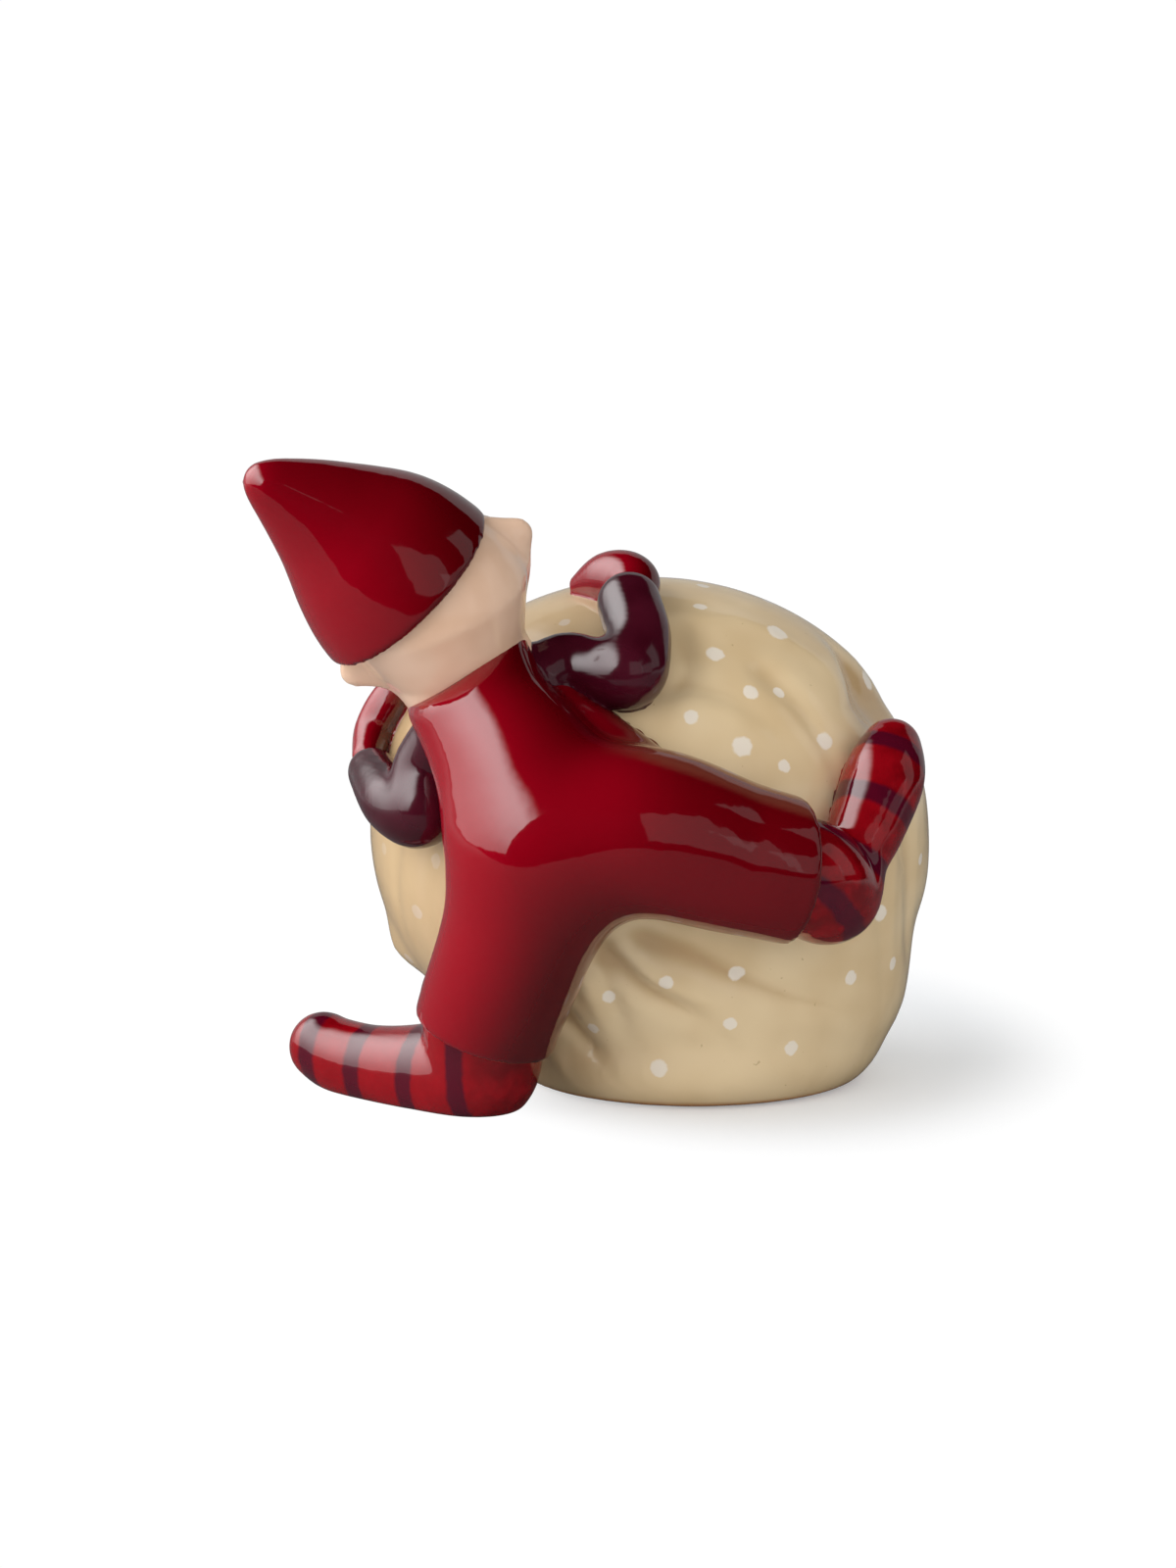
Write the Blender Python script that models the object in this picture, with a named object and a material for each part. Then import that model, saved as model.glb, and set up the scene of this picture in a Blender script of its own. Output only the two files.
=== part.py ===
"""A glazed ceramic elf that climbs a round gift sack.

The figurine is slip cast: the sack is a hollow shell on a flat foot, and the elf is made of
smaller solid casts that are set on it and on each other. Every piece is a form in space, given
by its distance to the surface, and each piece is cut back by the ones that it sits on, so that
neighbours always meet with the same seam between them.
Metres, +Z up, the elf's back towards -Y.
"""
import math

import bpy
from mathutils import Vector

for old in list(bpy.data.objects):
    bpy.data.objects.remove(old, do_unlink=True)


# Sizes of the sack
SACK_WIDTH = 0.1114
SACK_DEPTH = 0.0940
SACK_HEIGHT = 0.1000
SACK_RIGHT = 0.0094          # its middle, right of the figurine's middle
SACK_BEHIND = 0.0140         # its middle, behind the figurine's middle
SAG_WIDTH = 0.0750           # the slumped roll round its lower part
SAG_DEPTH = 0.0720
SAG_HEIGHT = 0.0250
SAG_RIGHT = 0.0130           # how far the roll hangs to the right
FOOT_RADIUS = 0.0330
FOOT_RIGHT = 0.0085
FOLD_DEPTH = 0.0022          # the deepest of the cloth's folds
FOLD_TAPER = 0.7             # how much narrower a fold is at its end, as a share of its width
SACK_WALL = 0.0038
POUR_HOLE_RADIUS = 0.0065

# Sizes of the elf
CHEST_RADIUS = 0.0138
WAIST_RADIUS = 0.0160
HIP_RADIUS = 0.0164
THIGH_RADIUS = 0.0166
CUFF_RADIUS = 0.0144
PLEAT_RADIUS = 0.0076
HEAD_RADIUS = 0.0184
NECK_RADIUS = 0.0132
EAR_LENGTH = 0.0068          # from its middle to its tip
EAR_FLATNESS = 1.5
NOSE_RADIUS = 0.0030
HAT_LENGTH = 0.0348
HAT_THICKNESS = 0.0015
HAT_LEAN = -0.13             # how far the tip bends to the front, as a share of the length
SLEEVE_RADIUS = 0.0066
MITTEN_RADIUS = 0.0054
BOOT_RADIUS = 0.0080
BOOT_LENGTH = 0.0372         # from the ankle to the middle of the toe

# Seams and the cells that the clay is cast in
SEAM = 0.0003                # clay to clay, between neighbours
THINNEST = 0.0040            # walls between two neighbours thinner than about half of this are left out
SOCKET = 0.0060              # how deep a limb's plug goes into its neighbour
PLUG_RADIUS = 0.0070
HEM = 0.0020                 # rounding of the cuffs
CELL = 0.0008
CRUMB = 300                  # a loose scrap of a thin edge has fewer corners than this

UP = Vector((0, 0, 1))


class Value:
    """A number or a vector that nodes work out at every point of space."""

    def __init__(self, socket):
        self.socket = socket

    def _node(self, kind, operation, others):
        tree = self.socket.id_data
        node = tree.nodes.new(kind)
        node.operation = operation
        for socket, value in zip(node.inputs, (self,) + others):
            if isinstance(value, Value):
                tree.links.new(value.socket, socket)
            else:
                socket.default_value = value
        return node

    def number(self, operation, *others):
        return Value(self._node("ShaderNodeMath", operation, others).outputs[0])

    def vector(self, operation, *others):
        return Value(self._node("ShaderNodeVectorMath", operation, others).outputs["Vector"])

    def measure(self, operation, *others):
        return Value(self._node("ShaderNodeVectorMath", operation, others).outputs["Value"])

    def clamped(self):
        node = self._node("ShaderNodeMath", "ADD", (0.0,))
        node.use_clamp = True
        return Value(node.outputs[0])

    def join(self, other, blend=0.0):
        return self.number("SMOOTH_MIN", other, blend) if blend else self.number("MINIMUM", other)

    def keep(self, other, blend=0.0):
        return self.number("SMOOTH_MAX", other, blend) if blend else self.number("MAXIMUM", other)

    def cut(self, other, gap=SEAM):
        """This form, cut back so that it stays a gap clear of the other one."""
        return self.keep(other.number("MULTIPLY_ADD", -1.0, gap))

    def grown(self, amount):
        return self.number("SUBTRACT", amount)

    def smooth_fall(self, reach, height):
        """A height that falls smoothly to nothing as this value rises to the reach."""
        node = self.socket.id_data.nodes.new("ShaderNodeMapRange")
        node.interpolation_type = "SMOOTHSTEP"
        self.socket.id_data.links.new(self.socket, node.inputs["Value"])
        node.inputs["From Max"].default_value = reach
        node.inputs["To Min"].default_value = height
        node.inputs["To Max"].default_value = 0.0
        return Value(node.outputs["Result"])


def form(sculpt):
    """Keeps a form's nodes in a group of their own, which any piece's tree can use."""
    tree = bpy.data.node_groups.new(sculpt.__name__, "GeometryNodeTree")
    tree.interface.new_socket("Distance", in_out="OUTPUT", socket_type="NodeSocketFloat")
    place = Value(tree.nodes.new("GeometryNodeInputPosition").outputs[0])
    tree.links.new(sculpt(place).socket, tree.nodes.new("NodeGroupOutput").inputs[0])

    def use(place):
        node = place.socket.id_data.nodes.new("GeometryNodeGroup")
        node.node_tree = tree
        return Value(node.outputs[0])

    return use


def limb(place, start, end):
    """Distance to a straight limb between two stations, each a centre and a radius."""
    (a, near_radius), (b, far_radius) = start, end
    run = b - a
    offset = place.vector("SUBTRACT", a)
    share = offset.measure("DOT_PRODUCT", run / run.length_squared).clamped()
    radial = share.vector("MULTIPLY_ADD", -run, offset).measure("LENGTH")
    return radial.number("SUBTRACT", share.number("MULTIPLY_ADD", far_radius - near_radius, near_radius))


def chain(place, stations):
    """Distance to a limb that follows all of its stations."""
    whole = limb(place, stations[0], stations[1])
    for start, end in zip(stations[1:], stations[2:]):
        whole = whole.join(limb(place, start, end))
    return whole


def egg(place, centre, radii):
    """Distance to an egg with its own radius along each axis."""
    scaled = place.vector("SUBTRACT", centre).vector("DIVIDE", radii)
    level = scaled.measure("LENGTH")
    slope = scaled.vector("DIVIDE", radii).measure("LENGTH")
    return level.number("MULTIPLY", level.number("SUBTRACT", 1.0)).number("DIVIDE", slope)


def turned(place, centre, axes):
    """The place measured from a centre along three axes of its own."""
    offset = place.vector("SUBTRACT", centre)
    local = offset.measure("DOT_PRODUCT", axes[0]).vector("MULTIPLY", Vector((1, 0, 0)))
    local = offset.measure("DOT_PRODUCT", axes[1]).vector("MULTIPLY_ADD", Vector((0, 1, 0)), local)
    return offset.measure("DOT_PRODUCT", axes[2]).vector("MULTIPLY_ADD", UP, local)


def beyond(place, point, direction):
    """Distance past a plane: positive on the side that the direction points to."""
    return place.vector("SUBTRACT", point).measure("DOT_PRODUCT", direction)


def plugged(place, whole, joint, way):
    """A limb's end: flat across its joint, with a thinner plug that goes on into the neighbour."""
    plug = limb(place, (joint - way * SOCKET, PLUG_RADIUS), (joint + way * SOCKET, PLUG_RADIUS))
    return whole.keep(beyond(place, joint, -way)).join(plug)


def cut_back(piece, place, neighbours):
    """A piece cut back by what it sits on, without the slivers where two neighbours come close."""
    seat = neighbours[0](place)
    for neighbour in neighbours[1:]:
        seat = seat.join(neighbour(place), THINNEST)
    return piece.cut(seat)


def rounded(stations, steps=4):
    """More stations between the given ones, on a smooth curve through them."""
    points = [stations[0]] + stations + [stations[-1]]
    curve = []
    for i in range(1, len(points) - 2):
        for step in range(steps):
            t = step / steps
            weights = (0.5 * (-t + 2 * t**2 - t**3), 0.5 * (2 - 5 * t**2 + 3 * t**3),
                       0.5 * (t + 4 * t**2 - 3 * t**3), 0.5 * (t**3 - t**2))
            near = points[i - 1:i + 3]
            centre = sum((w * c for w, (c, r) in zip(weights, near)), Vector())
            curve.append((centre, sum(w * r for w, (c, r) in zip(weights, near))))
    return curve + [stations[-1]]


def toward(longitude, latitude):
    """A direction: degrees right of the front, and degrees up."""
    across, up = math.radians(longitude), math.radians(latitude)
    return Vector((math.cos(up) * math.sin(across), -math.cos(up) * math.cos(across), math.sin(up)))


# The sack: an egg that has slumped into a roll over a round foot
SACK_RADII = Vector((SACK_WIDTH, SACK_DEPTH, SACK_HEIGHT)) / 2
SACK_MIDDLE = Vector((SACK_RIGHT, SACK_BEHIND, SACK_HEIGHT / 2))
FOOT_MIDDLE = Vector((SACK_RIGHT + FOOT_RIGHT, SACK_BEHIND, 0.0))
SAG_MIDDLE = Vector((SACK_RIGHT + SAG_RIGHT, SACK_BEHIND, SAG_HEIGHT * 0.75))

# Its folds, each a line of (longitude, latitude) seen from the sack's middle, with a width in
# degrees and a depth in shares of FOLD_DEPTH: a groove, or a ridge where it is negative
FOLDS = (
    # below the raised leg, drawn out of the crotch and round to the right
    (((-2, -18), (7, -21), (17, -26), (30, -31), (41, -33), (53, -36)), 7.5, 1.1),
    (((-6, -20), (-1, -26), (6, -29), (16, -32), (30, -37)), 4.5, -0.6),
    (((-10, -20), (-5, -26), (0, -31), (7, -34), (14, -37), (22, -43)), 6.0, 1.1),
    (((-15, -27), (-13, -36), (-10, -45)), 4.5, -0.7),
    (((-11, -24), (-8, -34), (-4, -45)), 4.0, 0.6),
    (((-24, -38), (-18, -46), (-11, -49)), 5.0, 1.0),
    (((-30, -50), (-24, -55)), 4.0, -0.4),
    (((14, -36), (34, -43), (60, -44)), 8.2, -0.3),
    # above the raised leg, curving down to its cuff
    (((2, 41), (10, 42), (20, 39), (28, 31), (33, 20)), 5.7, 0.5),
    (((8, 35), (18, 33), (26, 24)), 6.2, -0.35),
    (((33, 44), (39, 34), (42, 22), (42, 12)), 5.7, 0.55),
    (((14, 60), (40, 60), (57, 46), (60, 30)), 9.3, -0.3),
    (((11, 58), (11, 46), (5, 37)), 6.2, 0.6),
    # down the right side, over the roll
    (((48, 2), (52, -8), (58, -20), (62, -34)), 5.1, 0.5),
    (((63, 4), (68, -10), (74, -24), (84, -33)), 6.2, 0.6),
    (((56, -2), (60, -14), (66, -28)), 5.1, -0.35),
    # down the left side
    (((-62, 4), (-66, -10), (-70, -26)), 5.1, 0.5),
    (((-50, 2), (-54, -14), (-56, -28)), 5.1, 0.45),
    (((-86, -28), (-94, -38)), 10.3, -0.9),
    # a flattened shoulder at the upper right, and a bulge below it
    (((78, 34), (80, 48)), 25.7, 2.3),
    (((90, -14), (90, -22)), 18.5, -0.4),
    # round the back, where the cloth hangs in the same drawn folds
    (((-110, 30), (-118, 4), (-128, -24)), 8.2, 0.6),
    (((-140, 40), (-148, 8), (-156, -26)), 8.2, 0.6),
    (((-172, 42), (-178, 10), (-186, -24)), 8.2, 0.6),
    (((150, 40), (144, 8), (138, -24)), 8.2, 0.6),
    (((118, 34), (112, 6), (108, -26)), 8.2, 0.6),
)


@form
def sack_form(place):
    body = egg(place, SACK_MIDDLE, SACK_RADII)
    sag = egg(place, SAG_MIDDLE, Vector((SAG_WIDTH / 2, SAG_DEPTH / 2, SAG_HEIGHT)))
    foot_rise = FOOT_RADIUS / 4
    foot_bulge = FOOT_RADIUS / math.sqrt(0.75)
    foot = egg(place, FOOT_MIDDLE + UP * foot_rise, Vector((foot_bulge, foot_bulge, 2 * foot_rise)))
    cloth = body.join(sag, SAG_HEIGHT * 0.8).join(foot, FOOT_RADIUS * 0.1)
    direction = place.vector("SUBTRACT", SACK_MIDDLE).vector("DIVIDE", SACK_RADII).vector("NORMALIZE")
    for line, width, share in FOLDS:
        thins = math.radians(width) * FOLD_TAPER / (len(line) - 1)
        near = chain(direction, [(toward(*point), -thins * i) for i, point in enumerate(line)])
        cloth = cloth.number("ADD", near.smooth_fall(math.radians(width), FOLD_DEPTH * share))
    return cloth


def on_sack(longitude, latitude, lift):
    """A point over the sack's skin, its height measured square to it."""
    ray = toward(longitude, latitude)
    skin = SACK_MIDDLE + Vector(r * s for r, s in zip(SACK_RADII, ray))
    return skin + Vector(s / r for r, s in zip(SACK_RADII, ray)).normalized() * lift


def seated(radius, places):
    """A limb's stations on the sack, each (longitude, latitude, share of the radius, stand).

    The stand is how far its middle lies off the sack's skin, as a share of its own radius.
    """
    return [(on_sack(across, up, radius * share * stand), radius * share)
            for across, up, share, stand in places]


# The boots: each a shaft, a heel and a foot that ends in a round toe
ANKLE = on_sack(-40.5, -40.8, BOOT_RADIUS * 1.59)
ANKLE.z = BOOT_RADIUS * 1.125
TOE_WAY = toward(-121, 0)


def standing(along, up, share):
    """A station of the standing boot: shares of its length, and of its radius, from the ankle."""
    return ANKLE + TOE_WAY * BOOT_LENGTH * along + UP * BOOT_RADIUS * up, BOOT_RADIUS * share


STANDING_BOOT = rounded([
    standing(0.0, 0.88, 1.475),
    standing(0.0, -0.06, 1.425),
    standing(0.32, -0.35, 1.225),
    standing(0.645, -0.36, 1.02),
    standing(0.88, -0.22, 0.94),
    standing(0.985, -0.04, 0.88),
])
RAISED_BOOT = rounded(seated(BOOT_RADIUS, [
    (20, 0, 1.45, 0.84),
    (27, -1.5, 1.42, 0.87),
    (32.5, -5, 1.20, 0.90),
    (37.5, 1, 0.91, 0.99),
    (42, 7, 0.95, 0.87),
    (48.5, 15.5, 1.0, 0.80),
    (54, 21, 0.75, 0.97),
]))
STANDING_CUFF = ANKLE + UP * BOOT_RADIUS
STANDING_CUFF_WAY = toward(-117, -71)
RAISED_CUFF = on_sack(25, -0.5, CUFF_RADIUS * 0.66)
RAISED_CUFF_WAY = toward(110, -9)


@form
def boot_standing_form(place):
    boot = plugged(place, chain(place, STANDING_BOOT), STANDING_CUFF, STANDING_CUFF_WAY)
    return cut_back(boot, place, [sack_form])


@form
def boot_raised_form(place):
    boot = plugged(place, chain(place, RAISED_BOOT), RAISED_CUFF, RAISED_CUFF_WAY)
    return cut_back(boot, place, [sack_form])


# The head sits in the collar, thrown to the left and back
COLLAR = on_sack(-41, 36, NECK_RADIUS * 1.136)
COLLAR_WAY = toward(-80, 54)
HEAD_WAY = toward(-69, 47.7)
HEAD_MIDDLE = COLLAR + toward(-54, 64) * HEAD_RADIUS * 0.64
HEAD_RIGHT = Vector((0, 1, 0)).cross(HEAD_WAY).normalized()
FACE_WAY = HEAD_WAY.cross(HEAD_RIGHT).normalized()


def at_head(right, face, up):
    """A point measured from the middle of the head, in shares of its radius."""
    return HEAD_MIDDLE + (HEAD_RIGHT * right + FACE_WAY * face + HEAD_WAY * up) * HEAD_RADIUS


def ear(place, side):
    """An upright leaf with a hollow in the front of it."""
    axes = (HEAD_RIGHT * side, FACE_WAY, HEAD_WAY)
    middle = at_head(side * 0.92 + 0.02, 0.12, -0.04)
    flat = turned(place, middle, axes).vector("MULTIPLY", Vector((1, EAR_FLATNESS, 1)))
    rim = [(Vector((0.0, 0, 0.45)), 0.50), (Vector((0.42, 0, 0.10)), 0.50), (Vector((-0.25, 0, -0.62)), 0.34)]
    leaf = chain(flat, [(point * EAR_LENGTH, radius * EAR_LENGTH) for point, radius in rim])
    leaf = leaf.number("DIVIDE", EAR_FLATNESS)
    hollow = egg(turned(place, middle + FACE_WAY * EAR_LENGTH * 0.5, axes), Vector(),
                 EAR_LENGTH * Vector((0.62, 0.34, 0.48)))
    return leaf.cut(hollow, 0.0)


@form
def head_form(place):
    neck = [(COLLAR - COLLAR_WAY * NECK_RADIUS * 0.15, NECK_RADIUS), (COLLAR, NECK_RADIUS)]
    head = chain(place, neck + [(HEAD_MIDDLE, HEAD_RADIUS)])
    jaw = limb(place, (at_head(0, 0.33, -0.27), HEAD_RADIUS * 0.70), (at_head(0, 0.22, 0), HEAD_RADIUS * 0.76))
    nose = limb(place, (at_head(0, 1.04, 0), NOSE_RADIUS), (at_head(0, 1.0, 0), NOSE_RADIUS))
    head = head.join(jaw, HEAD_RADIUS * 0.33).join(nose, NOSE_RADIUS * 0.67)
    for side in (-1, 1):
        cheek = at_head(side * 0.52, 0.41, -0.08)
        full = limb(place, (cheek, HEAD_RADIUS * 0.54), (cheek + FACE_WAY * HEAD_RADIUS * 0.05, HEAD_RADIUS * 0.54))
        head = head.join(full, HEAD_RADIUS * 0.16).join(ear(place, side), HEAD_RADIUS * 0.2)
    return cut_back(plugged(place, head, COLLAR, COLLAR_WAY), place, [sack_form])


# The overalls: a trunk over the standing leg, with the other leg raised along the sack
TRUNK = rounded([
    (COLLAR + COLLAR_WAY * NECK_RADIUS * 0.34, NECK_RADIUS * 0.97),
    (COLLAR, NECK_RADIUS * 1.045),
] + seated(CHEST_RADIUS, [(-32, 27, 1.0, 0.87)]) + seated(WAIST_RADIUS, [(-23, 16, 1.0, 0.656)])
  + seated(HIP_RADIUS, [(-19, 2, 0.93, 0.68)]) + seated(THIGH_RADIUS, [(-25, -15, 0.90, 0.69)])
  + seated(CUFF_RADIUS, [(-33, -29, 1.0, 0.73)]) + [
    (ANKLE + UP * CUFF_RADIUS * 0.21, CUFF_RADIUS),
])
RAISED_LEG = rounded(
    seated(HIP_RADIUS, [(-20, 4, 1.0, 0.64)])
    + seated(THIGH_RADIUS, [(-3, 8, 1.0, 0.63), (14, 3, 0.90, 0.62)])
    + seated(CUFF_RADIUS, [(24, 0, 1.0, 0.66), (30, -2, 1.0, 0.66)]))

# The pleat of cloth that runs from under the right arm down to the raised leg
PLEAT = rounded(seated(PLEAT_RADIUS, [(-27, 38, 1.0, 0.3), (-19, 30, 1.0, 0.3), (-11, 25, 1.0, 0.3), (-3, 19, 1.0, 0.3)]))


@form
def overalls_form(place):
    body = chain(place, TRUNK).join(chain(place, RAISED_LEG), HIP_RADIUS * 0.73)
    body = body.join(chain(place, PLEAT), PLEAT_RADIUS * 0.4)
    body = body.keep(beyond(place, STANDING_CUFF, STANDING_CUFF_WAY), HEM)
    body = body.keep(beyond(place, RAISED_CUFF, RAISED_CUFF_WAY), HEM)
    body = body.keep(beyond(place, COLLAR, COLLAR_WAY), HEM / 2)
    return cut_back(body, place, [sack_form, head_form, boot_standing_form, boot_raised_form])


# The mittens, and the sleeves that run down to them
RIGHT_MITTEN = rounded(seated(MITTEN_RADIUS, [
    (-8, 60, 0.70, 1.05),
    (-11, 71, 1.055, 0.60),
    (-33, 75.5, 1.0, 0.50),
    (-62, 74, 0.43, 0.52),
]))
LEFT_MITTEN = rounded(seated(MITTEN_RADIUS, [
    (-77, 17, 0.60, 1.25),
    (-85, 22, 0.80, 0.75),
    (-86, 29, 0.80, 0.72),
    (-87, 35, 0.57, 0.8),
]))
RIGHT_SLEEVE = rounded(seated(SLEEVE_RADIUS, [
    (-30, 34, 0.91, 1.5),
    (-22, 42, 0.92, 0.98),
    (-14, 41.5, 0.955, 0.79),
    (-6, 41.5, 1.075, 0.70),
    (-4, 50, 1.0, 0.71),
    (-8.5, 61, 0.97, 0.70),
]))
LEFT_SLEEVE = rounded(seated(SLEEVE_RADIUS, [
    (-42, 26, 0.91, 1.5),
    (-48, 18, 0.97, 0.94),
    (-47.5, 9.5, 1.075, 0.80),
    (-55.5, 10, 1.0, 0.83),
    (-70.5, 14.5, 0.76, 0.80),
]))


@form
def mitten_right_form(place):
    return cut_back(chain(place, RIGHT_MITTEN), place, [sack_form])


@form
def mitten_left_form(place):
    return cut_back(chain(place, LEFT_MITTEN), place, [sack_form])


@form
def sleeve_right_form(place):
    return cut_back(chain(place, RIGHT_SLEEVE), place, [sack_form, overalls_form, head_form, mitten_right_form])


@form
def sleeve_left_form(place):
    return cut_back(chain(place, LEFT_SLEEVE), place, [sack_form, overalls_form, head_form, mitten_left_form])


# The hat: a cap over the head that draws out into a drooping point
HAT_WAY = toward(-68.5, 44)
HAT_DROOP = HAT_WAY.cross(Vector((0, 1, 0))).normalized()
BRIM = at_head(0, 0, 0) + (HAT_WAY * 0.326 + HAT_DROOP * 0.022) * HEAD_RADIUS
BRIM_RADIUS = HEAD_RADIUS + HAT_THICKNESS


def hat_station(along, droop, share):
    """A station along the hat, with shares of its length and of the brim's radius."""
    bend = Vector((0, HAT_LEAN * along**2, 0))
    return BRIM + (HAT_WAY * along + HAT_DROOP * droop + bend) * HAT_LENGTH, BRIM_RADIUS * share


HAT = rounded([
    hat_station(-0.20, 0.017, 1.0),
    hat_station(0.0, 0.017, 1.0),
    hat_station(0.16, 0.012, 0.930),
    hat_station(0.32, 0.022, 0.800),
    hat_station(0.48, 0.038, 0.662),
    hat_station(0.65, 0.062, 0.522),
    hat_station(0.81, 0.092, 0.386),
    hat_station(0.94, 0.122, 0.268),
    hat_station(1.0, 0.138, 0.200),
], 2)


@form
def hat_form(place):
    hat = chain(place, HAT).keep(beyond(place, BRIM, -HAT_WAY), HAT_THICKNESS)
    return cut_back(hat, place, [head_form])


# Casting: each form becomes a surface in cells of a given size, thinned to fewer faces
FIGURINE = bpy.data.collections.new("elf_figurine")
bpy.context.scene.collection.children.link(FIGURINE)
CUTTERS = bpy.data.collections.new("cutters")
bpy.context.scene.collection.children.link(CUTTERS)
STAND = bpy.data.objects.new("stand", None)
FIGURINE.objects.link(STAND)


def glaze(name, colour):
    material = bpy.data.materials.new(name)
    material.use_nodes = True
    shader = material.node_tree.nodes["Principled BSDF"]
    shader.inputs["Base Color"].default_value = (*colour, 1.0)
    shader.inputs["Roughness"].default_value = 0.12
    return material


def join_up(tree, kind, **feeds):
    """A node fed by sockets, or set to plain values, by the names of its inputs."""
    node = tree.nodes.new(kind)
    for name, feed in feeds.items():
        socket = node.inputs[name.replace("_", " ")]
        if isinstance(feed, bpy.types.NodeSocket):
            tree.links.new(feed, socket)
        else:
            socket.default_value = feed
    return node


def cast(name, sculpt, stations, material, cell=CELL, kept=0.05, collection=FIGURINE):
    """One closed piece in the box round its stations, with its origin at the first of them."""
    margin = Vector((1, 1, 1)) * 3 * cell
    low = Vector(min(c[i] - r for c, r in stations) for i in range(3)) - margin
    high = Vector(max(c[i] + r for c, r in stations) for i in range(3)) + margin
    counts = [math.ceil(size / cell) + 1 for size in high - low]
    tree = bpy.data.node_groups.new(name, "GeometryNodeTree")
    tree.interface.new_socket("Geometry", in_out="OUTPUT", socket_type="NodeSocketGeometry")
    inside = sculpt(Value(tree.nodes.new("GeometryNodeInputPosition").outputs[0])).number("MULTIPLY", -1.0)
    block = join_up(tree, "GeometryNodeVolumeCube", Density=inside.socket, Background=-1.0, Min=low, Max=high,
                    Resolution_X=counts[0], Resolution_Y=counts[1], Resolution_Z=counts[2])
    skin = join_up(tree, "GeometryNodeVolumeToMesh", Volume=block.outputs[0], Threshold=0.0)
    island = tree.nodes.new("GeometryNodeInputMeshIsland")
    size = join_up(tree, "GeometryNodeAccumulateField", Group_ID=island.outputs["Island Index"])
    crumb = Value(size.outputs["Total"]).number("LESS_THAN", CRUMB)
    whole = join_up(tree, "GeometryNodeDeleteGeometry", Geometry=skin.outputs[0], Selection=crumb.socket)
    smooth = join_up(tree, "GeometryNodeSetShadeSmooth", Geometry=whole.outputs[0])
    glazed = join_up(tree, "GeometryNodeSetMaterial", Geometry=smooth.outputs[0], Material=material)
    moved = join_up(tree, "GeometryNodeTransform", Geometry=glazed.outputs[0], Translation=-stations[0][0])
    tree.links.new(moved.outputs[0], tree.nodes.new("NodeGroupOutput").inputs[0])
    piece = bpy.data.objects.new(name, bpy.data.meshes.new(name))
    piece.data.materials.append(material)
    piece.location = stations[0][0]
    piece.parent = STAND
    collection.objects.link(piece)
    piece.modifiers.new("form", "NODES").node_group = tree
    piece.modifiers.new("thin", "DECIMATE").ratio = kept
    return piece


def take_away(piece, cutter):
    cut = piece.modifiers.new("less " + cutter.name, "BOOLEAN")
    cut.operation = "DIFFERENCE"
    cut.solver = "EXACT"
    cut.object = cutter


def as_cutter(name, cutter):
    cutter.name = name
    cutter.hide_render = True
    cutter.display_type = "WIRE"
    for user in list(cutter.users_collection):
        user.objects.unlink(cutter)
    CUTTERS.objects.link(cutter)
    return cutter


RED = glaze("red glaze", (0.26, 0.004, 0.008))
PLUM = glaze("plum glaze", (0.06, 0.006, 0.018))
SKIN = glaze("skin glaze", (0.62, 0.42, 0.30))
CREAM = glaze("cream glaze", (0.58, 0.46, 0.26))


def sack_core(place):
    """The hollow that the poured clay leaves: the sack's own form, one wall further in."""
    floor = beyond(place, UP * SACK_WALL, -UP)
    return sack_form(place).grown(-SACK_WALL).keep(floor, SACK_WALL * 0.8)


bpy.ops.mesh.primitive_cube_add(size=3 * SACK_WIDTH, location=UP * -1.5 * SACK_WIDTH)
GROUND = as_cutter("ground", bpy.context.object)
bpy.ops.mesh.primitive_cylinder_add(vertices=32, radius=POUR_HOLE_RADIUS, depth=8 * SACK_WALL, location=FOOT_MIDDLE)
POUR_HOLE = as_cutter("pour_hole", bpy.context.object)
SACK_BOX = [(SACK_MIDDLE, max(SACK_RADII))]
CORE = as_cutter("sack_core", cast("sack_core", sack_core, SACK_BOX, CREAM, cell=2.5 * CELL))

SACK = cast("sack", sack_form, SACK_BOX, CREAM, cell=1.5 * CELL, kept=0.065)
for tool in (GROUND, CORE, POUR_HOLE):
    take_away(SACK, tool)
cast("overalls", overalls_form, TRUNK + RAISED_LEG, RED, cell=1.5 * CELL, kept=0.09)
HEAD_BOX = [(HEAD_MIDDLE, HEAD_RADIUS + EAR_LENGTH), (COLLAR, NECK_RADIUS)]
cast("head", head_form, HEAD_BOX, SKIN)
cast("hat", hat_form, HAT, RED, kept=0.04)
cast("mitten_right", mitten_right_form, RIGHT_MITTEN, RED, cell=0.75 * CELL, kept=0.06)
cast("mitten_left", mitten_left_form, LEFT_MITTEN, RED, cell=0.75 * CELL, kept=0.06)
cast("sleeve_right", sleeve_right_form, RIGHT_SLEEVE, PLUM, kept=0.07)
cast("sleeve_left", sleeve_left_form, LEFT_SLEEVE, PLUM, kept=0.07)
take_away(cast("boot_standing", boot_standing_form, STANDING_BOOT, RED), GROUND)
cast("boot_raised", boot_raised_form, RAISED_BOOT, RED)
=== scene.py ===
"""The glazed elf that climbs a gift sack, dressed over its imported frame."""
import math

import bpy
import numpy as np
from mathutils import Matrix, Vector, bvhtree


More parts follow.
